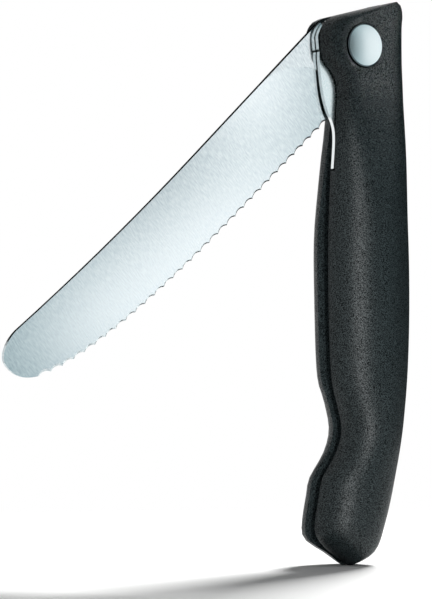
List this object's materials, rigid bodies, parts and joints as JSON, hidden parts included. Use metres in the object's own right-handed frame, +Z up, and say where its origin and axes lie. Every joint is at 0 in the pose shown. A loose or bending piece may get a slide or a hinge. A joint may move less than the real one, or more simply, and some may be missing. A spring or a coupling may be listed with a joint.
{
  "type": "folding paring knife",
  "caption": "Folding paring knife with a scalloped round-tip steel blade, a liner lock and a black moulded two-half grip, shown half open with its grip upright.",
  "frame": {"origin": "in the middle of the grip's belly on the blade's mid-plane, where the hand holds the knife", "axes": "+Z up along the grip to the pivot end, +X from the cutting side to the back of the grip, +Y from the near scale with the liner lock to the far scale, along the pivot"},
  "size_m": [0.1098, 0.0154, 0.1327],
  "materials": {
    "grip": "fine moulded grain",
    "blade_steel": "satin ground",
    "spring_steel": "polished",
    "rivet_steel": "polished",
    "bronze": "plain"
  },
  "bodies": {
    "handle": {"near_scale": "grip", "far_scale": "grip", "back_spacer": "grip", "lock_liner": "spring_steel", "pivot_cap": "rivet_steel", "pivot_barrel": "rivet_steel", "near_washer": "bronze", "far_washer": "bronze", "stop_pin": "rivet_steel", "liner_pin_1": "rivet_steel", "liner_pin_2": "rivet_steel", "liner_pin_3": "rivet_steel"},
    "blade": {"blade": "blade_steel"},
    "lock_bar": {"lock_bar": "spring_steel", "detent_ball": "rivet_steel"}
  },
  "joints": [
    {"name": "blade_pivot", "type": "hinge", "parent": "handle", "child": "blade", "pos_m": [-0.0036, 0, 0.045], "axis": [0, 1, 0], "range_deg": [-49, 132]},
    {"name": "lock_bar_flex", "type": "hinge", "parent": "handle", "child": "lock_bar", "pos_m": [-0.005, -0.00135, -0.011], "axis": [1, 0, 0], "range_deg": [0, 0.3], "stiffness_Nm_per_rad": 15, "springref_deg": -0.57}
  ]
}
